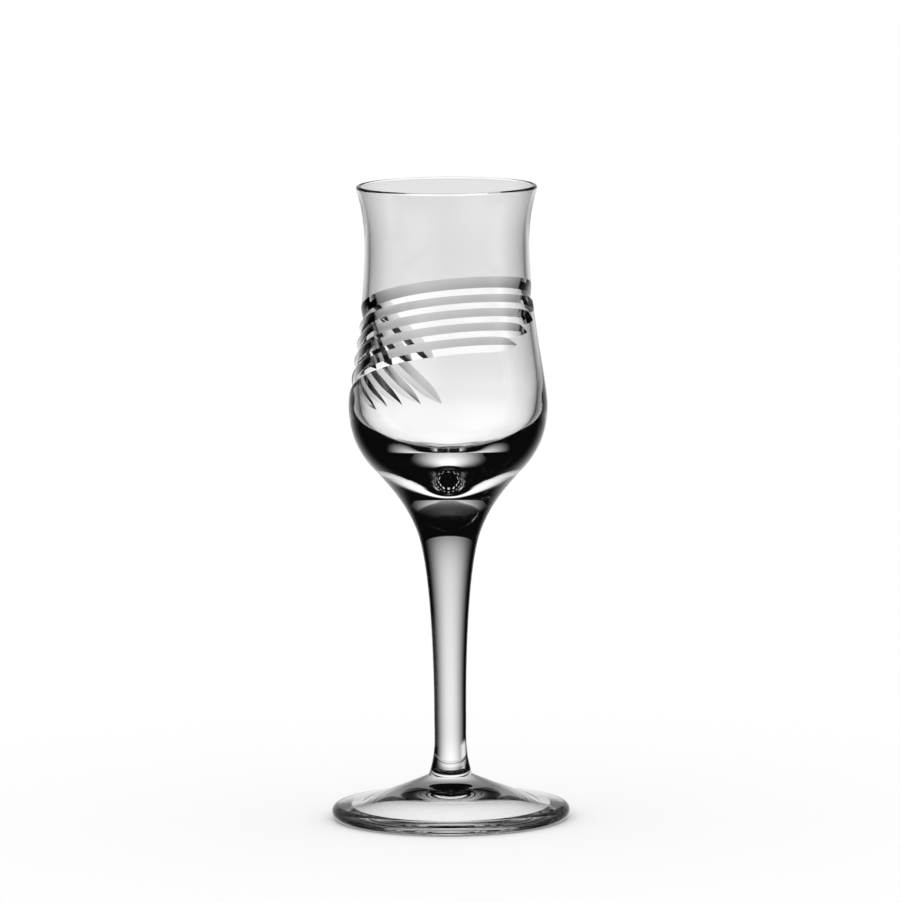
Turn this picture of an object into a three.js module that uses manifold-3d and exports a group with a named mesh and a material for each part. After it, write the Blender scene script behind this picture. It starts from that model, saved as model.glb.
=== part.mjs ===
import * as THREE from 'three';
import { mergeVertices, toCreasedNormals } from 'three/addons/utils/BufferGeometryUtils.js';
import Module from 'manifold-3d';

// A stemmed dessert wine glass of clear crystal, in millimetres with +Z up.
// The origin is the centre of the foot's underside, on the table. Radii are taken
// from the upright axis. Angles round the bowl start at the front (-Y) and grow
// towards +X. The glass is three pieces welded hot: foot, stem and bowl.

// Foot: a shallow cone with a rounded edge. Its hollow underside rises from the flat
// standing ring along the lip's slope and levels out under a wide crown.
const footRadius = 32.8;
const footEdgeRadius = 2;
const footHeight = 12;
const footTopSlope = 0.438;
const footEdgeSlope = 0.134;
const standRingWidth = 4.18;
const hollowDepth = 5.9;
const hollowCrown = 12.75;
const hollowLip = 6.04;
const hollowLipSlope = 0.287;

// Stem: a drawn rod that flares a little at the foot and like a trumpet at the bowl.
const stemLength = 68;
const stemFootRadius = 6.03;
const stemFootTaper = 0.345;
const stemWaistRadius = 4.45;
const stemWaistRise = 17;
const stemTopRadius = 8.9;
const trumpetSlope = 0.392;

// Bowl, outside: rises from the weld through shoulder, bulge and waist to the rim.
const shoulderRise = 15.68;
const bulgeRise = 18.62;
const waistRise = 43.7;
const rimRise = 17;
const shoulderRadius = 19.2;
const shoulderSlope = 0.826;
const bulgeRadius = 27.3;
const waistRadius = 22.55;
const rimRadius = 24.8;
const rimFlare = 0.26;

// Bowl, inside: thin at the rim, thicker at the bulge, solid below the wine. The floor
// sinks to the middle over a bend part of the way out.
const rimWall = 1.3;
const waistWall = 1.55;
const bulgeWall = 2.67;
const cavityRise = 3.46;
const baseThickness = 13.26;
const floorBendRadius = 13.3;
const floorBendRise = 6.9;
const floorBendSlope = 1.546;

// Cuts: parallel bevelled grooves, each with a broad upper face and a short lower one. They
// hook down, fan out and grow deeper towards their tips on the back of the bowl.
const cutCount = 5;
const cutDepth = 0.97;
const backCutDepth = 1.4;
const cutPitch = 3.85;
const cutFan = 0.42;
const fanPower = 4;
const upperBevel = THREE.MathUtils.degToRad(18);
const lowerBevel = THREE.MathUtils.degToRad(25);
const crestAngle = THREE.MathUtils.degToRad(21);
const crestBelowWaist = 9.1;
const sweepAngle = THREE.MathUtils.degToRad(197);
const hookDrop = 8;
const hookPower = 7;
const tipBelowBulge = 6.3;
const frontTipAngle = THREE.MathUtils.degToRad(104);
const frontTipStagger = THREE.MathUtils.degToRad(13.5);
const frontRunout = 9.5;
const backRunout = 9.5;

// Fineness of the facets.
const bowlSides = 64;
const stemSides = 40;
const footSides = 64;
const runoutStops = 6;
const crease = THREE.MathUtils.degToRad(12);

// The cutting wheel stands this far clear of the glass, and lifts this far off it at a tip.
const wheelClear = 0.3;
const tipLift = 0.02;

// Heights worked out from the sizes above.
const weldHeight = footHeight + stemLength;
const shoulderHeight = weldHeight + shoulderRise;
const bulgeHeight = shoulderHeight + bulgeRise;
const waistHeight = bulgeHeight + waistRise;
const rimHeight = waistHeight + rimRise;
const cavityHeight = bulgeHeight + cavityRise;
const floorHeight = weldHeight + baseThickness;

const wasm = await Module();
wasm.setup();

// A smooth stretch of outline between two points, leaving and arriving along the
// given slopes (radius gained per unit of height), with each end's handle length.
function stretch(path, from, to) {
  path.bezierCurveTo(
    from.radius + from.slope * from.handle, from.height + from.handle,
    to.radius - to.slope * to.handle, to.height - to.handle,
    to.radius, to.height,
  );
}

// The bowl's outside, from the weld up to the rim.
function bowlOutside() {
  const weld = { radius: stemTopRadius, height: weldHeight, slope: trumpetSlope };
  const shoulder = { radius: shoulderRadius, height: shoulderHeight, slope: shoulderSlope };
  const bulge = { radius: bulgeRadius, height: bulgeHeight, slope: 0 };
  const waist = { radius: waistRadius, height: waistHeight, slope: 0 };
  const rim = { radius: rimRadius, height: rimHeight - rimWall / 2, slope: rimFlare };
  const path = new THREE.Path();
  path.moveTo(weld.radius, weld.height);
  stretch(path, { ...weld, handle: shoulderRise * 0.507 }, { ...shoulder, handle: shoulderRise * 0.231 });
  stretch(path, { ...shoulder, handle: bulgeRise * 0.063 }, { ...bulge, handle: bulgeRise * 0.639 });
  stretch(path, { ...bulge, handle: waistRise * 0.16 }, { ...waist, handle: waistRise * 0.42 });
  stretch(path, { ...waist, handle: rimRise * 0.45 }, { ...rim, handle: rimRise * 0.3 });
  return path;
}

// Heights fall on the way down the inside, so these stretches take negative handles.
function bowlInside(path) {
  const rim = { radius: rimRadius - rimWall, height: rimHeight - rimWall / 2, slope: rimFlare };
  const waist = { radius: waistRadius - waistWall, height: waistHeight, slope: 0 };
  const cavity = { radius: bulgeRadius - bulgeWall, height: cavityHeight, slope: 0 };
  const bend = { radius: floorBendRadius, height: floorHeight + floorBendRise, slope: floorBendSlope };
  const depth = cavityHeight - floorHeight;
  const fall = floorBendRise * 0.824;
  stretch(path, { ...rim, handle: -rimRise * 0.3 }, { ...waist, handle: -rimRise * 0.45 });
  stretch(path, { ...waist, handle: -waistRise * 0.4 }, { ...cavity, handle: -waistRise * 0.175 });
  stretch(path, { ...cavity, handle: -depth * 0.322 }, { ...bend, handle: -floorBendRise * 0.875 });
  path.bezierCurveTo(
    bend.radius - floorBendSlope * fall, bend.height - fall,
    floorBendRadius * 0.213, floorHeight,
    0, floorHeight,
  );
}

// Half sections, each read anticlockwise from the axis and back to it.
function bowlProfile() {
  const outside = bowlOutside();
  const points = [new THREE.Vector2(0, weldHeight), ...outside.getPoints(8)];
  const lip = new THREE.Path();
  lip.absarc(rimRadius - rimWall / 2, rimHeight - rimWall / 2, rimWall / 2, 0, Math.PI, false);
  points.push(...lip.getPoints(2));
  const inside = new THREE.Path();
  inside.moveTo(rimRadius - rimWall, rimHeight - rimWall / 2);
  bowlInside(inside);
  points.push(...inside.getPoints(5));
  return points;
}

function stemProfile() {
  const end = { radius: stemFootRadius, height: footHeight, slope: -stemFootTaper };
  const waist = { radius: stemWaistRadius, height: footHeight + stemWaistRise, slope: 0 };
  const top = { radius: stemTopRadius, height: weldHeight, slope: trumpetSlope };
  const trumpetRise = stemLength - stemWaistRise;
  const path = new THREE.Path();
  path.moveTo(0, footHeight);
  path.lineTo(end.radius, end.height);
  stretch(path, { ...end, handle: stemWaistRise * 0.35 }, { ...waist, handle: stemWaistRise * 0.41 });
  stretch(path, { ...waist, handle: trumpetRise * 0.39 }, { ...top, handle: trumpetRise * 0.163 });
  path.lineTo(0, weldHeight);
  return path.getPoints(9);
}

function footProfile() {
  const edgeCentre = footRadius - footEdgeRadius;
  const hollowRadius = edgeCentre - standRingWidth;
  const lean = Math.atan(footEdgeSlope);
  const edgeTop = new THREE.Vector2(
    edgeCentre + footEdgeRadius * Math.sin(lean),
    footEdgeRadius * (1 + Math.cos(lean)),
  );
  const fall = footHeight - edgeTop.y - footEdgeSlope * (edgeTop.x - stemFootRadius);
  const bend = stemFootRadius + fall / (footTopSlope - footEdgeSlope);
  const path = new THREE.Path();
  path.moveTo(0, hollowDepth);
  path.bezierCurveTo(
    hollowCrown, hollowDepth,
    hollowRadius - hollowLip, hollowLip * hollowLipSlope,
    hollowRadius, 0,
  );
  path.lineTo(edgeCentre, 0);
  path.absarc(edgeCentre, footEdgeRadius, footEdgeRadius, -Math.PI / 2, Math.PI / 2 - lean, false);
  const bendHeight = footHeight - footTopSlope * (bend - stemFootRadius);
  path.quadraticCurveTo(bend, bendHeight, stemFootRadius, footHeight);
  path.lineTo(0, footHeight);
  return path.getPoints(4);
}

// Shared corners merged and faces of no area dropped, so that the skin is closed.
function closedSkin(geometry) {
  geometry.deleteAttribute('normal');
  geometry.deleteAttribute('uv');
  const merged = mergeVertices(geometry);
  const corners = merged.index.array;
  const kept = [];
  for (let i = 0; i < corners.length; i += 3) {
    const [a, b, c] = corners.slice(i, i + 3);
    if (a !== b && b !== c && c !== a) kept.push(a, b, c);
  }
  merged.setIndex(kept);
  return merged;
}

// Neighbouring stretches of a profile share their end point, which is kept once.
function turned(points, sides) {
  const profile = points.filter((point, i) => i === 0 || point.distanceTo(points[i - 1]) > 1e-6);
  const geometry = new THREE.LatheGeometry(profile, sides);
  geometry.rotateX(Math.PI / 2);
  return closedSkin(geometry);
}

function solidOf(geometry) {
  return new wasm.Manifold(new wasm.Mesh({
    numProp: 3,
    vertProperties: new Float32Array(geometry.attributes.position.array),
    triVerts: new Uint32Array(geometry.index.array),
  }));
}

function geometryOf(solid) {
  const mesh = solid.getMesh();
  const geometry = new THREE.BufferGeometry();
  geometry.setAttribute('position', new THREE.BufferAttribute(mesh.vertProperties, 3));
  geometry.setIndex(new THREE.BufferAttribute(mesh.triVerts, 1));
  return geometry;
}

// The bowl's outer radius at a height, and the slope of its wall there.
const outsidePoints = bowlOutside().getPoints(60);

function wallAt(height) {
  const above = outsidePoints.findIndex((point) => point.y > height);
  const high = outsidePoints[above];
  const low = outsidePoints[above - 1];
  const slope = (high.x - low.x) / (high.y - low.y);
  return { radius: low.x + slope * (height - low.y), slope };
}

// The value between low and high from which a test starts to hold.
function firstWhere(holds, low, high) {
  let [a, b] = [low, high];
  for (let i = 0; i < 50; i += 1) {
    const middle = (a + b) / 2;
    if (holds(middle)) b = middle;
    else a = middle;
  }
  return (a + b) / 2;
}

// The first cut runs over its crest near the front, falls away to either side and hooks
// down at the back. The others lie below it, a pitch apart, and fan out at the back.
const crestHeight = waistHeight - crestBelowWaist;
const tipHeight = bulgeHeight - tipBelowBulge;

function cutPoint(cut, angle) {
  const turn = (angle - crestAngle) / sweepAngle;
  const share = Math.abs(turn);
  const sweepDrop = crestHeight - tipHeight - hookDrop;
  const height = crestHeight - sweepDrop * share ** 2 - hookDrop * share ** hookPower;
  const steepness = 2 * sweepDrop * share + hookPower * hookDrop * share ** (hookPower - 1);
  const { radius } = wallAt(height);
  const lean = Math.atan2(-Math.sign(turn) * steepness / sweepAngle, radius);
  const below = cut * cutPitch * (1 + cutFan * Math.max(0, -turn) ** fanPower);
  return {
    angle: angle + below * Math.sin(lean) / radius,
    height: height - below * Math.cos(lean),
  };
}

function onBowl({ angle, height }) {
  const { radius, slope } = wallAt(height);
  const outward = new THREE.Vector3(Math.sin(angle), -Math.cos(angle), 0);
  const point = outward.clone().multiplyScalar(radius).setZ(height);
  const normal = outward.clone().setZ(-slope).normalize();
  return { point, normal };
}

// Where one cut's line crosses from one facet of the bowl to the next, from its back tip to
// its front tip. The run-outs get a stop on every half facet.
function cutStops(cut) {
  const start = crestAngle - sweepAngle;
  const back = firstWhere((angle) => cutPoint(cut, angle).height > tipHeight, start, crestAngle);
  const tip = frontTipAngle - cut * frontTipStagger;
  const front = firstWhere((angle) => cutPoint(cut, angle).angle > tip, crestAngle, Math.PI);
  const halfFacet = Math.PI / bowlSides;
  const first = Math.ceil(cutPoint(cut, back).angle / halfFacet + 0.3);
  const last = Math.floor(tip / halfFacet - 0.3);
  const stops = [back];
  for (let k = first; k <= last; k += 1) {
    const inRunout = k - first < runoutStops || last - k < runoutStops;
    if (k % 2 !== 0 && !inRunout) continue;
    stops.push(firstWhere((angle) => cutPoint(cut, angle).angle > k * halfFacet, back, front));
  }
  stops.push(front);
  return stops;
}

// The wheel's section at one stop lies in the upright plane through the axis: the point on
// the bowl, the ways out of the glass and up along it, how level the cut runs there, and how
// much deeper and steeper it is than at its crest.
function cutSection(cut, angle) {
  const here = cutPoint(cut, angle);
  const { point, normal } = onBowl(here);
  const ahead = onBowl(cutPoint(cut, angle + 0.001)).point.sub(point).normalize();
  const around = new THREE.Vector3(Math.cos(here.angle), Math.sin(here.angle), 0);
  const backShare = Math.max(0, (crestAngle - angle) / sweepAngle);
  const deeper = 1 + (backCutDepth / cutDepth - 1) * backShare ** 2;
  return { point, normal, rise: normal.clone().cross(around), level: ahead.dot(around), deeper };
}

// The wheel that cuts a groove: a three-cornered bar along the cut's line that
// rises out of the glass over the run-out at either end.
function cutter(cut) {
  const sections = cutStops(cut).map((angle) => cutSection(cut, angle));
  let length = 0;
  const along = sections.map(({ point }, i) => {
    if (i > 0) length += point.distanceTo(sections[i - 1].point);
    return length;
  });
  const corners = [];
  sections.forEach(({ point, normal, rise, level, deeper }, i) => {
    const intoBack = Math.max(0, 1 - along[i] / backRunout);
    const intoFront = Math.max(0, 1 - (length - along[i]) / frontRunout);
    const depth = cutDepth * deeper * (1 - intoBack ** 2 - intoFront ** 2) - tipLift;
    const reach = (depth + wheelClear) / (level * deeper);
    const root = point.clone().addScaledVector(normal, -depth);
    const outer = point.clone().addScaledVector(normal, wheelClear);
    const upper = outer.clone().addScaledVector(rise, reach / Math.tan(upperBevel));
    const lower = outer.clone().addScaledVector(rise, -reach / Math.tan(lowerBevel));
    corners.push(root, upper, lower);
  });
  const steps = sections.length - 1;
  const faces = [[0, 2, 1], [0, 1, 2].map((k) => k + 3 * steps)];
  for (let i = 0; i < steps; i += 1) {
    for (let k = 0; k < 3; k += 1) {
      const here = 3 * i + k;
      const beside = 3 * i + (k + 1) % 3;
      faces.push([here, beside, here + 3], [beside, beside + 3, here + 3]);
    }
  }
  const geometry = new THREE.BufferGeometry().setFromPoints(corners);
  geometry.setIndex(faces.flat());
  return geometry;
}

function cutBowl() {
  let bowl = solidOf(turned(bowlProfile(), bowlSides));
  for (let cut = 0; cut < cutCount; cut += 1) bowl = bowl.subtract(solidOf(cutter(cut)));
  return geometryOf(bowl);
}

function crystal(name, geometry) {
  const material = new THREE.MeshStandardMaterial({ color: 0xe9eeee, roughness: 0.03, metalness: 0 });
  const mesh = new THREE.Mesh(toCreasedNormals(geometry, crease), material);
  mesh.name = name;
  return mesh;
}

const glass = new THREE.Group();
glass.add(crystal('foot', turned(footProfile(), footSides)));
glass.add(crystal('stem', turned(stemProfile(), stemSides)));
glass.add(crystal('bowl', cutBowl()));

export default glass;
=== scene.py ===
import math
import bpy
import numpy as np
from mathutils import Matrix, Vector


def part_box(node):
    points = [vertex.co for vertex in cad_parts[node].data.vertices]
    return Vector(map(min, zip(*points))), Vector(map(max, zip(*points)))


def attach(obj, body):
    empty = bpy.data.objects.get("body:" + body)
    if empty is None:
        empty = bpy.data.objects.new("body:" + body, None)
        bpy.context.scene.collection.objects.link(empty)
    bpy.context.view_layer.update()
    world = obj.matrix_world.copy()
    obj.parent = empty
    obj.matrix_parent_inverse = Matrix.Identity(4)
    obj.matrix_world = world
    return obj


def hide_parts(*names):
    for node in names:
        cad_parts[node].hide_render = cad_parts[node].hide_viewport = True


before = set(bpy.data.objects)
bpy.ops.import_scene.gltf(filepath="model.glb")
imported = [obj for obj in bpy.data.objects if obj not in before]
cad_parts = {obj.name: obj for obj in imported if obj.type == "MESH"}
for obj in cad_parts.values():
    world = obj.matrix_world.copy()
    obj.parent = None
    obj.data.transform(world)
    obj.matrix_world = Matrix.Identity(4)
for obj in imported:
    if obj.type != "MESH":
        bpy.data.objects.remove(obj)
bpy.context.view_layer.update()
print("frame loaded:", ", ".join(sorted(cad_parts)))

mm = 0.001
deg = math.pi / 180
roundSides = 256         # facets round the axis, the same on all three pieces so the welds meet
weldDish = 0.02 * mm     # weld faces are dished apart, touching only at their rims
smoothUnder = 7.5 * deg  # faces that meet at less than this shade as one curve
glassSlot, weldSlot, cutSlot = 0, 1, 2

# heights and widths that the solids already settle
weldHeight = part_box("stem")[1].z
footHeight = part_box("stem")[0].z
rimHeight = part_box("bowl")[1].z
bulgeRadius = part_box("bowl")[1].x
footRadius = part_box("foot")[1].x


# outlines: points are (radius, height), smooth stretches are Bezier curves

def bezier(a, b, c, d, steps):
    t = np.linspace(0, 1, steps + 1)[:, None]
    a, b, c, d = (np.array(p, float) for p in (a, b, c, d))
    return a * (1 - t) ** 3 + 3 * b * t * (1 - t) ** 2 + 3 * c * t ** 2 * (1 - t) + d * t ** 3


def stretch(start, end, startHandle, endHandle, steps):
    r0, z0, slope0 = start       # slope is radius gained per unit of height
    r1, z1, slope1 = end
    leave = (r0 + slope0 * startHandle, z0 + startHandle)
    arrive = (r1 - slope1 * endHandle, z1 - endHandle)
    return bezier((r0, z0), leave, arrive, (r1, z1), steps)


def arc(centre, radius, fromAngle, toAngle, steps):
    a = np.linspace(fromAngle, toAngle, steps + 1)
    return np.stack([centre[0] + radius * np.cos(a), centre[1] + radius * np.sin(a)], 1)


def joinOutline(parts):
    kept = [parts[0]]
    for part in parts[1:]:
        kept.append(part[1:])    # neighbours share a point
    return np.concatenate(kept)


# meshes

def turnedMesh(name, outline, weldSteps=()):
    angles = np.arange(roundSides) * 2 * math.pi / roundSides
    ringCos, ringSin = np.cos(angles), np.sin(angles)
    verts, rings = [], []
    for radius, height in outline:
        start = len(verts)
        if radius < 1e-7:
            verts.append((0, 0, height))
            rings.append([start] * roundSides)
        else:
            verts.extend(zip(radius * ringCos, radius * ringSin, [height] * roundSides))
            rings.append(list(range(start, start + roundSides)))
    faces, slots = [], []
    for step, (low, high) in enumerate(zip(rings, rings[1:])):
        for j in range(roundSides):
            k = (j + 1) % roundSides
            corners = [low[j], low[k], high[k], high[j]]
            faces.append(list(dict.fromkeys(corners)))   # a quad at the axis becomes a triangle
            slots.append(weldSlot if step in weldSteps else glassSlot)
    mesh = bpy.data.meshes.new(name)
    mesh.from_pydata(verts, [], faces)
    mesh.polygons.foreach_set("material_index", slots)
    mesh.validate()
    return mesh


def addPiece(name, mesh, node, materials):
    piece = bpy.data.objects.new(name, mesh)
    bpy.context.scene.collection.objects.link(piece)
    slots = np.zeros(len(mesh.polygons), np.int32)
    mesh.polygons.foreach_get("material_index", slots)
    mesh.materials.clear()       # this also sets every face back to the first slot
    for material in materials:
        mesh.materials.append(material)
    mesh.polygons.foreach_set("material_index", slots)
    mesh.shade_smooth()
    mesh.set_sharp_from_angle(angle=smoothUnder)
    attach(piece, "root")
    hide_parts(node)
    print("piece", name, len(mesh.polygons), "faces, by finish", np.bincount(slots))
    return piece


# nodes

def addNode(tree, kind, **values):
    node = tree.nodes.new(kind)
    for key, value in values.items():
        setattr(node, key, value)
    return node


def feed(tree, socket, value):       # a link from another socket, or a plain value
    if isinstance(value, bpy.types.NodeSocket):
        tree.links.new(value, socket)
    else:
        socket.default_value = value


def mathNode(tree, operation, *values, clamp=False):
    node = addNode(tree, "ShaderNodeMath", operation=operation, use_clamp=clamp)
    for socket, value in zip(node.inputs, values):
        feed(tree, socket, value)
    return node.outputs[0]


def newGroup(name, inputs, outputs):
    group = bpy.data.node_groups.new(name, "ShaderNodeTree")
    for socketName, kind, default in inputs:
        socket = group.interface.new_socket(socketName, in_out="INPUT", socket_type=kind)
        if default is not None:
            socket.default_value = default
    for socketName, kind in outputs:
        group.interface.new_socket(socketName, in_out="OUTPUT", socket_type=kind)
    return group, group.nodes.new("NodeGroupInput").outputs, group.nodes.new("NodeGroupOutput").inputs


def placeGroup(tree, group, **values):
    node = addNode(tree, "ShaderNodeGroup", node_tree=group)
    for key, value in values.items():
        feed(tree, node.inputs[key], value)
    return node.outputs


def noiseNode(tree, vector, scale, detail):
    noise = addNode(tree, "ShaderNodeTexNoise")
    feed(tree, noise.inputs["Vector"], vector)
    feed(tree, noise.inputs["Scale"], scale)
    feed(tree, noise.inputs["Detail"], detail)
    return noise.outputs["Fac"]


def splitNode(tree, vector):
    split = addNode(tree, "ShaderNodeSeparateXYZ")
    tree.links.new(vector, split.inputs[0])
    return split.outputs


def joinNode(tree, *values):
    join = addNode(tree, "ShaderNodeCombineXYZ")
    for socket, value in zip(join.inputs, values):
        feed(tree, socket, value)
    return join.outputs[0]


# slow waves left in the skin of hot-worked glass, drawn out along the axis
def makeRipple():
    group, into, out = newGroup("drawnRipple", [
        ("Place", "NodeSocketVector", None),
        ("Scale", "NodeSocketFloat", 60.0),
        ("Draw", "NodeSocketFloat", 0.3),
    ], [("Height", "NodeSocketFloat")])
    drawn = addNode(group, "ShaderNodeVectorMath", operation="MULTIPLY")
    group.links.new(into["Place"], drawn.inputs[0])
    group.links.new(joinNode(group, 1, 1, into["Draw"]), drawn.inputs[1])
    waves = noiseNode(group, drawn.outputs[0], into["Scale"], 1.0)
    group.links.new(waves, out["Height"])
    return group


# polish that is a little less perfect in patches
def makeHaze():
    group, into, out = newGroup("polishHaze", [
        ("Place", "NodeSocketVector", None),
        ("Least", "NodeSocketFloat", 0.0),
        ("Most", "NodeSocketFloat", 0.02),
        ("Patches", "NodeSocketFloat", 90.0),
    ], [("Roughness", "NodeSocketFloat")])
    patches = noiseNode(group, into["Place"], into["Patches"], 3.0)
    spread = mathNode(group, "SUBTRACT", into["Most"], into["Least"])
    roughness = mathNode(group, "MULTIPLY_ADD", patches, spread, into["Least"])
    group.links.new(roughness, out["Roughness"])
    return group


# faint clouding of the crystal's own colour
def makeTint():
    group, into, out = newGroup("crystalTint", [
        ("Place", "NodeSocketVector", None),
        ("Clear", "NodeSocketColor", (1, 1, 1, 1)),
        ("Cloud", "NodeSocketColor", (0.98, 0.985, 0.985, 1)),
        ("Clouds", "NodeSocketFloat", 35.0),
    ], [("Colour", "NodeSocketColor")])
    clouds = noiseNode(group, into["Place"], into["Clouds"], 2.0)
    mix = addNode(group, "ShaderNodeMix", data_type="RGBA")
    group.links.new(clouds, mix.inputs[0])
    group.links.new(into["Clear"], mix.inputs[6])        # colour A
    group.links.new(into["Cloud"], mix.inputs[7])        # colour B
    group.links.new(mix.outputs[2], out["Colour"])
    return group


# fine lines that the polishing wheel leaves along the sweep of the cuts
def makeWheelLines():
    group, into, out = newGroup("wheelLines", [
        ("Place", "NodeSocketVector", None),
        ("Across", "NodeSocketFloat", 4000.0),
        ("Along", "NodeSocketFloat", 6.0),
        ("Crest", "NodeSocketFloat", 0.0),
        ("Fall", "NodeSocketFloat", 0.003),
    ], [("Height", "NodeSocketFloat")])
    place = splitNode(group, into["Place"])
    front = mathNode(group, "MULTIPLY", place["Y"], -1.0)
    angle = mathNode(group, "ARCTAN2", place["X"], front)
    turn = mathNode(group, "SUBTRACT", angle, into["Crest"])
    fallen = mathNode(group, "MULTIPLY", mathNode(group, "MULTIPLY", turn, turn), into["Fall"])
    level = mathNode(group, "ADD", place["Z"], fallen)   # the same all along one line
    across = mathNode(group, "MULTIPLY", level, into["Across"])
    along = mathNode(group, "MULTIPLY", turn, into["Along"])
    lines = noiseNode(group, joinNode(group, across, along), 1.0, 2.0)
    group.links.new(lines, out["Height"])
    return group


# rubbing on tables: a band of small scuffs that fades above the standing ring
def makeRubbing():
    group, into, out = newGroup("tableRubbing", [
        ("Place", "NodeSocketVector", None),
        ("Reach", "NodeSocketFloat", 0.0002),
        ("Scuffs", "NodeSocketFloat", 900.0),
        ("Contrast", "NodeSocketFloat", 4.0),
        ("Offset", "NodeSocketFloat", -1.6),
    ], [("Mask", "NodeSocketFloat")])
    height = mathNode(group, "DIVIDE", splitNode(group, into["Place"])["Z"], into["Reach"])
    low = mathNode(group, "SUBTRACT", 1.0, height, clamp=True)
    scuffs = noiseNode(group, into["Place"], into["Scuffs"], 4.0)
    sharp = mathNode(group, "MULTIPLY_ADD", scuffs, into["Contrast"], into["Offset"], clamp=True)
    group.links.new(mathNode(group, "MULTIPLY", low, sharp), out["Mask"])
    return group


rippleGroup, hazeGroup, tintGroup = makeRipple(), makeHaze(), makeTint()
linesGroup, rubbingGroup = makeWheelLines(), makeRubbing()


def bumpNode(tree, height, strength, depth):
    bump = addNode(tree, "ShaderNodeBump")
    bump.inputs["Strength"].default_value = strength
    bump.inputs["Distance"].default_value = depth
    tree.links.new(height, bump.inputs["Height"])
    return bump


def glassMaterial(name, finish):
    material = bpy.data.materials.new(name)
    material.use_nodes = True
    tree = material.node_tree
    shader = tree.nodes["Principled BSDF"]
    shader.inputs["Metallic"].default_value = 0
    shader.inputs["IOR"].default_value = finish["ior"]
    shader.inputs["Transmission Weight"].default_value = 1
    place = addNode(tree, "ShaderNodeTexCoord").outputs["Object"]
    tint = placeGroup(tree, tintGroup, Place=place, Clear=finish["clear"], Cloud=finish["cloud"])
    tree.links.new(tint["Colour"], shader.inputs["Base Color"])
    haze = placeGroup(tree, hazeGroup, Place=place, Least=finish["hazeLeast"], Most=finish["hazeMost"])
    roughness = haze["Roughness"]
    if "rubbed" in finish:
        rubbing = placeGroup(tree, rubbingGroup, Place=place, Reach=finish["rubReach"])
        roughness = mathNode(tree, "MULTIPLY_ADD", rubbing["Mask"], finish["rubbed"], roughness)
    tree.links.new(roughness, shader.inputs["Roughness"])
    scale, draw = finish["rippleScale"], finish["rippleDraw"]
    ripple = placeGroup(tree, rippleGroup, Place=place, Scale=scale, Draw=draw)
    bump = bumpNode(tree, ripple["Height"], finish["rippleStrength"], finish["rippleDepth"])
    if "lineDepth" in finish:
        crest, fall = finish["lineCrest"], finish["lineFall"]
        lines = placeGroup(tree, linesGroup, Place=place, Crest=crest, Fall=fall)
        fine = bumpNode(tree, lines["Height"], finish["lineStrength"], finish["lineDepth"])
        tree.links.new(bump.outputs["Normal"], fine.inputs["Normal"])
        bump = fine
    tree.links.new(bump.outputs["Normal"], shader.inputs["Normal"])
    return material


# two welded faces are one body of glass, so nothing bends or shines between them
def fusedMaterial():
    material = bpy.data.materials.new("fusedWeld")
    material.use_nodes = True
    tree = material.node_tree
    tree.nodes.remove(tree.nodes["Principled BSDF"])
    clear = addNode(tree, "ShaderNodeBsdfTransparent")
    tree.links.new(clear.outputs[0], tree.nodes["Material Output"].inputs["Surface"])
    return material


firePolish = {
    "ior": 1.52,
    "clear": (1, 1, 1, 1),
    "cloud": (0.985, 0.988, 0.988, 1),
    "hazeLeast": 0.0,
    "hazeMost": 0.012,
    "rippleScale": 70.0,
    "rippleDraw": 0.35,
    "rippleStrength": 0.25,
    "rippleDepth": 0.02 * mm,
}
stemPolish = {       # long streaks from drawing
    **firePolish,
    "rippleScale": 160.0,
    "rippleDraw": 0.08,
}
footPolish = {       # scuffed where it stands
    **firePolish,
    "rippleDraw": 1.0,
    "rubbed": 0.22,
    "rubReach": 0.2 * mm,
}
wheelPolish = {      # lines that follow the cuts
    **firePolish,
    "hazeMost": 0.03,
    "rippleScale": 220.0,
    "rippleStrength": 0.4,
    "lineStrength": 0.3,
    "lineDepth": 0.004 * mm,
    "lineCrest": 21 * deg,       # where the cuts lie highest, and how they fall away from there
    "lineFall": 2.8 * mm,
}

weldGlass = fusedMaterial()


# foot: a shallow cone with a rounded edge, hollow underneath, standing on a flat ring

foot = {
    "edgeRadius": 2.0 * mm,
    "topSlope": 0.438,
    "edgeSlope": 0.134,
    "ringWidth": 4.18 * mm,      # the flat part that it stands on
    "hollowDepth": 5.9 * mm,
    "hollowCrown": 12.75 * mm,
    "hollowLip": 6.04 * mm,
    "hollowSlope": 0.287,
    "neckRadius": 6.03 * mm,
    "curveSteps": 48,
}


def footOutline():
    edge = foot["edgeRadius"]
    centre = footRadius - edge
    hollow = centre - foot["ringWidth"]
    lean = math.atan(foot["edgeSlope"])
    edgeTop = (centre + edge * math.sin(lean), edge * (1 + math.cos(lean)))
    neck = foot["neckRadius"]
    fall = footHeight - edgeTop[1] - foot["edgeSlope"] * (edgeTop[0] - neck)
    bend = neck + fall / (foot["topSlope"] - foot["edgeSlope"])
    bendPoint = np.array([bend, footHeight - foot["topSlope"] * (bend - neck)])
    edgeTop, neckPoint = np.array(edgeTop), np.array([neck, footHeight])
    fromEdge = edgeTop + (bendPoint - edgeTop) * 2 / 3       # one bend, written as a cubic
    toNeck = neckPoint + (bendPoint - neckPoint) * 2 / 3
    depth, lip, steps = foot["hollowDepth"], foot["hollowLip"], foot["curveSteps"]
    crownEnd = (foot["hollowCrown"], depth)
    lipStart = (hollow - lip, foot["hollowSlope"] * lip)
    return joinOutline([
        bezier((0, depth), crownEnd, lipStart, (hollow, 0), steps),
        np.array([(hollow, 0), (centre, 0)]),
        arc((centre, edge), edge, -math.pi / 2, math.pi / 2 - lean, steps),
        bezier(edgeTop, fromEdge, toNeck, neckPoint, steps),
        np.array([neckPoint, (0, footHeight - weldDish)]),
    ])


footLine = footOutline()
footMesh = turnedMesh("foot", footLine, weldSteps=[len(footLine) - 2])
addPiece("turnedFoot", footMesh, "foot", [glassMaterial("footGlass", footPolish), weldGlass])


# stem: drawn out of hot glass, trumpet-shaped under the bowl

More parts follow.
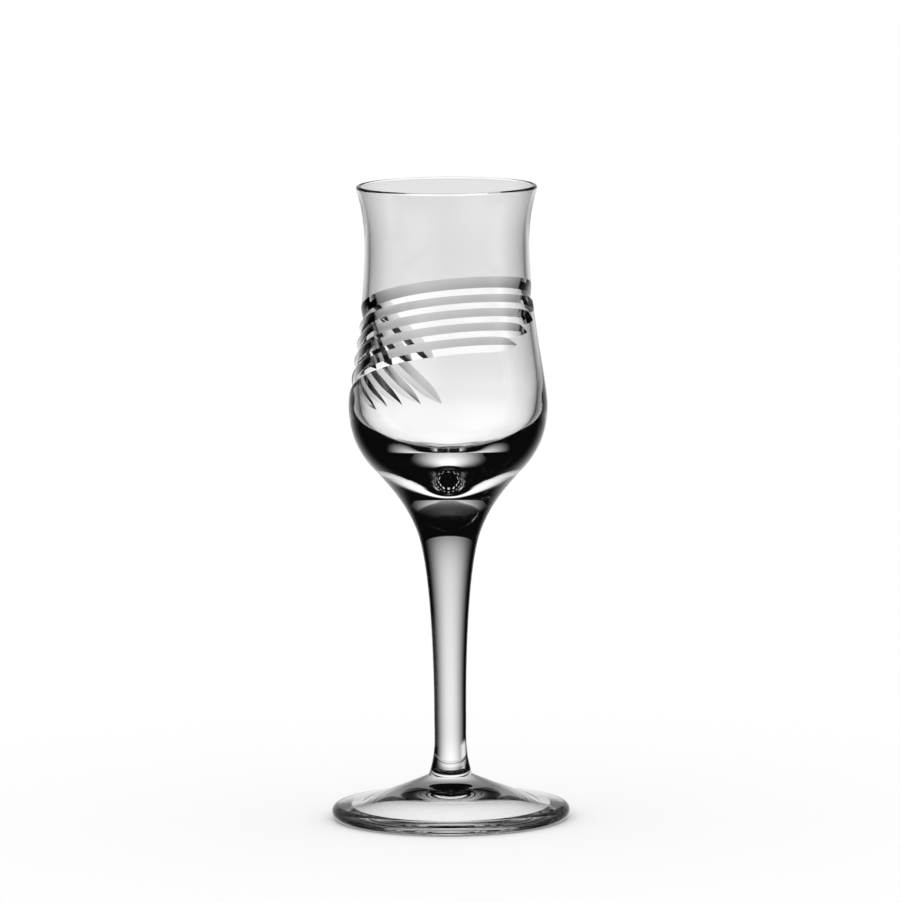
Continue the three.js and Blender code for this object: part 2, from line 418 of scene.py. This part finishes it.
stem = {
    "footRadius": 6.03 * mm,
    "footTaper": 0.345,
    "waistRadius": 4.45 * mm,
    "waistRise": 17 * mm,
    "topRadius": 8.9 * mm,
    "trumpetSlope": 0.392,
    "lowPulls": (0.35, 0.41),        # how far each curve holds its end slopes
    "trumpetPulls": (0.39, 0.163),
    "lowSteps": 48,
    "trumpetSteps": 72,
}


def stemOutline():
    low = (stem["footRadius"], footHeight, -stem["footTaper"])
    waist = (stem["waistRadius"], footHeight + stem["waistRise"], 0)
    top = (stem["topRadius"], weldHeight, stem["trumpetSlope"])
    lowPull, waistPull = (stem["waistRise"] * share for share in stem["lowPulls"])
    leavePull, topPull = ((weldHeight - waist[1]) * share for share in stem["trumpetPulls"])
    return joinOutline([
        np.array([(0, footHeight + weldDish), low[:2]]),
        stretch(low, waist, lowPull, waistPull, stem["lowSteps"]),
        stretch(waist, top, leavePull, topPull, stem["trumpetSteps"]),
        np.array([top[:2], (0, weldHeight - weldDish)]),
    ])


stemLine = stemOutline()
stemMesh = turnedMesh("stem", stemLine, weldSteps=[0, len(stemLine) - 2])
addPiece("drawnStem", stemMesh, "stem", [glassMaterial("stemGlass", stemPolish), weldGlass])


# bowl: flared rim, slim waist, full bulge and a thick solid base

bowl = {
    "shoulderRise": 15.68 * mm,
    "bulgeRise": 18.62 * mm,
    "rimRise": 17 * mm,
    "shoulderRadius": 19.2 * mm,
    "shoulderSlope": 0.826,
    "waistRadius": 22.55 * mm,
    "rimRadius": 24.8 * mm,
    "rimFlare": 0.26,
    "rimWall": 1.3 * mm,
    "waistWall": 1.55 * mm,
    "bulgeWall": 2.67 * mm,
    "cavityRise": 3.46 * mm,
    "baseThickness": 13.26 * mm,
    "floorBendRadius": 13.3 * mm,
    "floorBendRise": 6.9 * mm,
    "floorBendSlope": 1.546,
    "shoulderPulls": (0.507, 0.231),     # how far each curve holds its end slopes
    "bulgePulls": (0.063, 0.639),
    "waistPulls": (0.16, 0.42),
    "rimPulls": (0.45, 0.3),
    "innerWaistPulls": (0.4, 0.175),
    "cavityPull": 0.322,
    "floorBendPulls": (0.875, 0.824),
    "floorPull": 0.213,
    "outsideSteps": (40, 40, 48, 24),
    "insideSteps": (24, 40, 48, 40),
    "lipSteps": 32,
}
shoulderHeight = weldHeight + bowl["shoulderRise"]
bulgeHeight = shoulderHeight + bowl["bulgeRise"]
waistHeight = rimHeight - bowl["rimRise"]
waistRise = waistHeight - bulgeHeight


def pulls(length, name):
    return (length * share for share in bowl[name])


def bowlOutside():
    weld = (stem["topRadius"], weldHeight, stem["trumpetSlope"])
    shoulder = (bowl["shoulderRadius"], shoulderHeight, bowl["shoulderSlope"])
    bulge = (bulgeRadius, bulgeHeight, 0)
    waist = (bowl["waistRadius"], waistHeight, 0)
    rim = (bowl["rimRadius"], rimHeight - bowl["rimWall"] / 2, bowl["rimFlare"])
    steps = bowl["outsideSteps"]
    return joinOutline([
        stretch(weld, shoulder, *pulls(bowl["shoulderRise"], "shoulderPulls"), steps[0]),
        stretch(shoulder, bulge, *pulls(bowl["bulgeRise"], "bulgePulls"), steps[1]),
        stretch(bulge, waist, *pulls(waistRise, "waistPulls"), steps[2]),
        stretch(waist, rim, *pulls(bowl["rimRise"], "rimPulls"), steps[3]),
    ])


def bowlInside():                # from the rim down to the middle of the floor
    rim = (bowl["rimRadius"] - bowl["rimWall"], rimHeight - bowl["rimWall"] / 2, bowl["rimFlare"])
    waist = (bowl["waistRadius"] - bowl["waistWall"], waistHeight, 0)
    cavity = (bulgeRadius - bowl["bulgeWall"], bulgeHeight + bowl["cavityRise"], 0)
    floor = weldHeight + bowl["baseThickness"]
    depth = cavity[1] - floor
    bendRise = bowl["floorBendRise"]
    bend = (bowl["floorBendRadius"], floor + bendRise, bowl["floorBendSlope"])
    abovePull, fall = pulls(bendRise, "floorBendPulls")
    waistPull, rimPull = pulls(-bowl["rimRise"], "rimPulls")
    leaveBend = (bend[0] - bend[2] * fall, bend[1] - fall)
    nearAxis = (bend[0] * bowl["floorPull"], floor)
    steps = bowl["insideSteps"]
    return joinOutline([
        stretch(rim, waist, rimPull, waistPull, steps[0]),
        stretch(waist, cavity, *pulls(-waistRise, "innerWaistPulls"), steps[1]),
        stretch(cavity, bend, -depth * bowl["cavityPull"], -abovePull, steps[2]),
        bezier(bend[:2], leaveBend, nearAxis, (0, floor), steps[3]),
    ])


outsideLine = bowlOutside()


def bowlOutline():
    lipCentre = (bowl["rimRadius"] - bowl["rimWall"] / 2, rimHeight - bowl["rimWall"] / 2)
    return joinOutline([
        np.array([(0, weldHeight + weldDish), outsideLine[0]]),
        outsideLine,
        arc(lipCentre, bowl["rimWall"] / 2, 0, math.pi, bowl["lipSteps"]),
        bowlInside(),
    ])


# cuts: five parallel bevelled grooves swept round the bowl

cuts = {
    "count": 5,
    "depth": 0.97 * mm,
    "backDepth": 1.4 * mm,
    "firstSteep": 1.22,      # the top cut goes a little deeper in front
    "pitch": 3.85 * mm,
    "fan": 0.42,
    "fanPower": 4,
    "upperBevel": 16.5 * deg,
    "upperCurve": 0.33,      # the wheel's face is rounded, so the upper bevel is steeper near its root
    "upperSteps": 6,
    "lowerBevel": 25 * deg,
    "crestAngle": 21 * deg,
    "crestBelowWaist": 9.1 * mm,
    "sweepAngle": 197 * deg,
    "hookDrop": 8 * mm,
    "hookPower": 7,
    "tipBelowBulge": 6.3 * mm,
    "frontTipAngle": 104 * deg,
    "frontTipStagger": 13.5 * deg,
    "frontRunout": 9.5 * mm,
    "backRunout": 9.5 * mm,
    "step": 0.6 * mm,
    "pathSamples": 4000,
    "wheelClear": 0.3 * mm,
    "tipLift": 0.02 * mm,
    "leastUnder": 0.012 * mm,        # how far under the turned outside a cut face lies
    "mostUnder": 1.5 * mm,
    "bandBelowTips": 2 * mm,
}
crestHeight = waistHeight - cuts["crestBelowWaist"]
tipHeight = bulgeHeight - cuts["tipBelowBulge"]
outsideSlope = np.gradient(outsideLine[:, 0], outsideLine[:, 1])


def wallAt(height):
    radius = np.interp(height, outsideLine[:, 1], outsideLine[:, 0])
    return radius, np.interp(height, outsideLine[:, 1], outsideSlope)


def cutPath(cut, turn):      # angle round the bowl (0 at the front, growing to the right) and height
    share = (turn - cuts["crestAngle"]) / cuts["sweepAngle"]
    hook, power = cuts["hookDrop"], cuts["hookPower"]
    sweep = crestHeight - tipHeight - hook
    height = crestHeight - sweep * share ** 2 - hook * np.abs(share) ** power
    hookFall = power * hook * np.sign(share) * np.abs(share) ** (power - 1)
    fall = -(2 * sweep * share + hookFall) / cuts["sweepAngle"]
    radius = wallAt(height)[0]
    lean = np.arctan2(fall, radius)
    below = cut * cuts["pitch"] * (1 + cuts["fan"] * np.maximum(0, -share) ** cuts["fanPower"])
    return turn + below * np.sin(lean) / radius, height - below * np.cos(lean)


def onBowl(angle, height):
    radius, slope = wallAt(height)
    outward = np.stack([np.sin(angle), -np.cos(angle), 0 * angle], 1)
    point = outward * radius[:, None]
    point[:, 2] = height
    normal = outward.copy()
    normal[:, 2] = -slope
    return point, normal / np.linalg.norm(normal, axis=1)[:, None]


def cutLine(cut):            # the root of one cut at even steps, from its back tip to its front tip
    turn = np.linspace(cuts["crestAngle"] - cuts["sweepAngle"], math.pi, cuts["pathSamples"])
    angle, height = cutPath(cut, turn)
    frontTip = cuts["frontTipAngle"] - cut * cuts["frontTipStagger"]
    inside = (angle < frontTip) & ((height > tipHeight) | (turn > cuts["crestAngle"]))
    turn, angle, height = turn[inside], angle[inside], height[inside]
    point = onBowl(angle, height)[0]
    along = np.concatenate([[0], np.cumsum(np.linalg.norm(np.diff(point, axis=0), axis=1))])
    even = np.linspace(0, along[-1], int(along[-1] / cuts["step"]) + 2)
    return even, *(np.interp(even, along, values) for values in (turn, angle, height))


def wheelMesh(cut):          # a bar along the cut, rounded on its upper face, that lifts out at both ends
    along, turn, angle, height = cutLine(cut)
    point, normal = onBowl(angle, height)
    tangent = np.gradient(point, axis=0)
    up = np.cross(normal, tangent)
    up /= np.linalg.norm(up, axis=1)[:, None]
    intoBack = np.clip(1 - along / cuts["backRunout"], 0, 1)
    intoFront = np.clip(1 - (along[-1] - along) / cuts["frontRunout"], 0, 1)
    backShare = np.clip((cuts["crestAngle"] - turn) / cuts["sweepAngle"], 0, 1)
    steep = 1 + (cuts["backDepth"] / cuts["depth"] - 1) * backShare ** 2
    if cut == 0:
        steep += (cuts["firstSteep"] - 1) * (1 - backShare)
    steep = steep[:, None]
    lift = (intoBack ** 2 + intoFront ** 2)[:, None]
    depth = cuts["depth"] * steep * (1 - lift) - cuts["tipLift"]
    rise = depth + cuts["wheelClear"]
    reach = rise / steep
    root = point - normal * depth
    section = [root]
    upper = up * reach / math.tan(cuts["upperBevel"])
    lower = -up * reach / math.tan(cuts["lowerBevel"])
    for share in np.linspace(0, 1, cuts["upperSteps"] + 1)[1:]:
        lifted = share + cuts["upperCurve"] * share * (1 - share)
        section.append(root + normal * rise * lifted + upper * share)
    section.append(root + normal * rise + lower)
    corners = len(section)
    verts = np.stack(section, 1).reshape(-1, 3)
    last = len(verts) - corners
    faces = [tuple(range(corners - 1, -1, -1)), tuple(range(last, last + corners))]
    for base in range(0, last, corners):
        for k in range(corners):
            here, beside = base + k, base + (k + 1) % corners
            faces.append((here, beside, beside + corners, here + corners))
    mesh = bpy.data.meshes.new("wheel%d" % cut)
    mesh.from_pydata([tuple(v) for v in verts], [], faces)
    return mesh


def cutBowl(mesh):
    scene = bpy.context.scene
    blank = bpy.data.objects.new("bowlBlank", mesh)
    scene.collection.objects.link(blank)
    wheels = []
    for cut in range(cuts["count"]):
        wheel = bpy.data.objects.new("wheel%d" % cut, wheelMesh(cut))
        scene.collection.objects.link(wheel)
        wheels.append(wheel)
        grind = blank.modifiers.new("grind%d" % cut, "BOOLEAN")
        grind.operation = "DIFFERENCE"
        grind.solver = "MANIFOLD"
        grind.object = wheel
    bpy.context.view_layer.update()
    shaped = bpy.data.meshes.new_from_object(blank.evaluated_get(bpy.context.evaluated_depsgraph_get()))
    for wheel in wheels + [blank]:
        bpy.data.objects.remove(wheel)
    return shaped


def markCutFaces(mesh):      # faces that lie under the turned outside but well outside the cavity
    centres = np.zeros(len(mesh.polygons) * 3)
    mesh.polygons.foreach_get("center", centres)
    centres = centres.reshape(-1, 3)
    under = wallAt(centres[:, 2])[0] - np.hypot(centres[:, 0], centres[:, 1])
    slots = np.zeros(len(mesh.polygons), np.int32)
    mesh.polygons.foreach_get("material_index", slots)
    band = (centres[:, 2] > tipHeight - cuts["bandBelowTips"]) & (centres[:, 2] < waistHeight)
    slots[band & (under > cuts["leastUnder"]) & (under < cuts["mostUnder"])] = cutSlot
    mesh.polygons.foreach_set("material_index", slots)
    print("cut faces", int((slots == cutSlot).sum()))


bowlMesh = cutBowl(turnedMesh("bowl", bowlOutline(), weldSteps=[0]))
bowlMesh.name = "bowl"
markCutFaces(bowlMesh)
addPiece("blownBowl", bowlMesh, "bowl", [
    glassMaterial("bowlGlass", firePolish), weldGlass, glassMaterial("cutGlass", wheelPolish),
])


# stage: pale floor, studio world and camera

stageFloor = {
    "half": 15.0,
    "drop": 0.05 * mm,
    "colour": (0.93, 0.93, 0.93, 1),
}


def makeFloor():
    half, level = stageFloor["half"], -stageFloor["drop"]
    mesh = bpy.data.meshes.new("floor")
    corners = [(x * half, y * half, level) for x, y in ((-1, -1), (1, -1), (1, 1), (-1, 1))]
    mesh.from_pydata(corners, [], [(0, 1, 2, 3)])
    floor = bpy.data.objects.new("floor", mesh)
    bpy.context.scene.collection.objects.link(floor)
    material = bpy.data.materials.new("paleFloor")
    material.use_nodes = True
    shader = material.node_tree.nodes["Principled BSDF"]
    shader.inputs["Base Color"].default_value = stageFloor["colour"]
    shader.inputs["Roughness"].default_value = 1
    shader.inputs["Specular IOR Level"].default_value = 0
    mesh.materials.append(material)
    floor.visible_transmission = False   # the glass looks on to the studio's cards instead
    floor.visible_glossy = False


studio = {
    "ambient": 1.09,         # even light on the floor
    "dark": 0.003,           # unlit studio
    "cardHalfWidth": 50,     # angles in degrees
    "cardTop": 15,
    "cardBottom": -51.8,
    "cardEdge": 1.2,
    "cardBottomEdge": 6.3,
    "lowest": -40,
    "highest": 20,
    "innerBounces": 40,      # light turns many times inside thick glass
}
# brightness up the card: elevation in degrees, level
cardLevels = [
    (-33, 1.21), (-25, 1.16), (-20, 1.09), (-12, 0.98), (-6, 0.85),
    (0, 0.73), (4, 0.59), (8, 0.45), (12, 0.34),
]
# cards behind the glass when it is seen from its other sides, and one all round below it for views
# from above; their light counts only if it was reflected at most so many times inside the glass
sideCards = [
    {"centre": -45, "halfWidth": 38, "bottom": -50, "top": -12, "edge": 3, "level": 0.88, "reflections": 0},
    {"centre": 135, "halfWidth": 50, "bottom": -58, "top": 6, "edge": 4, "level": 0.97, "reflections": 1},
    {"centre": -95, "halfWidth": 32, "bottom": -12, "top": 14, "edge": 3, "level": 1.2, "reflections": 1},
    {"centre": -90, "halfWidth": 18, "bottom": -58, "top": -11, "edge": 3, "level": 0.95, "reflections": 1},
    {"centre": 0, "halfWidth": 9999, "bottom": -95, "top": -56, "edge": 6, "level": 0.8, "reflections": 0},
]


def makeCard():
    group, into, out = newGroup("lightCard", [
        ("Azimuth", "NodeSocketFloat", 0.0),
        ("Elevation", "NodeSocketFloat", 0.0),
        ("Centre", "NodeSocketFloat", 0.0),
        ("Half Width", "NodeSocketFloat", 50.0),
        ("Top", "NodeSocketFloat", 15.0),
        ("Top Edge", "NodeSocketFloat", 1.0),
        ("Bottom", "NodeSocketFloat", -36.0),
        ("Bottom Edge", "NodeSocketFloat", 5.0),
    ], [("Level", "NodeSocketFloat")])
    aside = mathNode(group, "SUBTRACT", into["Azimuth"], into["Centre"])
    aside = mathNode(group, "ABSOLUTE", mathNode(group, "WRAP", aside, 180.0, -180.0))
    share = mathNode(group, "MINIMUM", mathNode(group, "DIVIDE", aside, into["Half Width"]), 1.0)
    wave = mathNode(group, "COSINE", mathNode(group, "MULTIPLY", share, math.pi))
    across = mathNode(group, "MULTIPLY_ADD", wave, 0.5, 0.5)             # fades out to both sides
    fromTop = mathNode(group, "SUBTRACT", into["Top"], into["Elevation"])
    fromBottom = mathNode(group, "SUBTRACT", into["Elevation"], into["Bottom"])
    upper = mathNode(group, "DIVIDE", fromTop, into["Top Edge"])
    upper = mathNode(group, "ADD", upper, 0.5, clamp=True)
    lower = mathNode(group, "DIVIDE", fromBottom, into["Bottom Edge"])
    lower = mathNode(group, "ADD", lower, 0.5, clamp=True)
    level = mathNode(group, "MULTIPLY", across, mathNode(group, "MULTIPLY", upper, lower))
    group.links.new(level, out["Level"])
    return group


def makeWorld():
    world = bpy.data.worlds.new("studio")
    bpy.context.scene.world = world
    world.use_nodes = True
    tree = world.node_tree
    background = tree.nodes["Background"]
    direction = splitNode(tree, addNode(tree, "ShaderNodeTexCoord").outputs["Generated"])
    azimuth = mathNode(tree, "DEGREES", mathNode(tree, "ARCTAN2", direction["X"], direction["Y"]))
    elevation = mathNode(tree, "DEGREES", mathNode(tree, "ARCSINE", direction["Z"]))
    place = addNode(tree, "ShaderNodeMapRange")
    tree.links.new(elevation, place.inputs["Value"])
    place.inputs["From Min"].default_value = studio["lowest"]
    place.inputs["From Max"].default_value = studio["highest"]
    ramp = addNode(tree, "ShaderNodeValToRGB")
    tree.links.new(place.outputs["Result"], ramp.inputs["Fac"])
    span = studio["highest"] - studio["lowest"]
    stops = ramp.color_ramp.elements
    while len(stops) < len(cardLevels):
        stops.new(1.0)
    for stop, (height, level) in zip(stops, cardLevels):
        stop.position = (height - studio["lowest"]) / span
        stop.color = (level, level, level, 1)
    cardGroup = makeCard()
    card = placeGroup(tree, cardGroup, **{
        "Azimuth": azimuth, "Elevation": elevation, "Half Width": studio["cardHalfWidth"],
        "Top": studio["cardTop"], "Top Edge": studio["cardEdge"],
        "Bottom": studio["cardBottom"], "Bottom Edge": studio["cardBottomEdge"],
    })
    lit = mathNode(tree, "MULTIPLY_ADD", ramp.outputs["Color"], card["Level"], studio["dark"])
    ray = addNode(tree, "ShaderNodeLightPath").outputs
    for side in sideCards:               # seen only through the glass
        level = placeGroup(tree, cardGroup, **{
            "Azimuth": azimuth, "Elevation": elevation,
            "Centre": side["centre"], "Half Width": side["halfWidth"],
            "Top": side["top"], "Top Edge": side["edge"],
            "Bottom": side["bottom"], "Bottom Edge": side["edge"],
        })["Level"]
        through = mathNode(tree, "LESS_THAN", ray["Glossy Depth"], side["reflections"] + 0.5)
        through = mathNode(tree, "MULTIPLY", through, ray["Is Transmission Ray"])
        through = mathNode(tree, "MULTIPLY", through, side["level"])
        level = mathNode(tree, "MULTIPLY", level, ramp.outputs["Color"])
        lit = mathNode(tree, "MAXIMUM", lit, mathNode(tree, "MULTIPLY", level, through))
    shown = mathNode(tree, "ADD", ray["Is Camera Ray"], ray["Is Glossy Ray"])
    shown = mathNode(tree, "ADD", shown, ray["Is Transmission Ray"], clamp=True)
    seen = mathNode(tree, "MAXIMUM", lit, ray["Is Camera Ray"])          # plain white behind the glass
    inGlass = mathNode(tree, "MULTIPLY", seen, shown)
    onFloor = mathNode(tree, "MULTIPLY", mathNode(tree, "SUBTRACT", 1.0, shown), studio["ambient"])
    tree.links.new(mathNode(tree, "ADD", inGlass, onFloor), background.inputs["Color"])


view = {
    "distance": 2.5,         # from the glass's axis
    "height": 0.416,
    "aside": 0.436 * mm,
    "pitch": 7.165 * deg,
    "roll": -0.408 * deg,
    "focal": 9184,           # in pixels of the picture
    "pictureHeight": 902,
}


def makeCamera():
    data = bpy.data.cameras.new("camera")
    data.sensor_width = 36
    data.lens = view["focal"] * data.sensor_width / view["pictureHeight"]
    camera = bpy.data.objects.new("camera", data)
    bpy.context.scene.collection.objects.link(camera)
    upright = Matrix.Rotation(math.pi / 2 - view["pitch"], 4, "X")
    place = Matrix.Translation(Vector((view["aside"], -view["distance"], view["height"])))
    camera.matrix_world = place @ upright @ Matrix.Rotation(view["roll"], 4, "Z")
    bpy.context.scene.camera = camera


makeFloor()
makeWorld()
makeCamera()
scene = bpy.context.scene
scene.view_settings.view_transform = "Standard"
scene.cycles.max_bounces = studio["innerBounces"]
scene.cycles.glossy_bounces = studio["innerBounces"]
scene.cycles.transmission_bounces = studio["innerBounces"]
scene.cycles.transparent_max_bounces = studio["innerBounces"]
print("stage set")
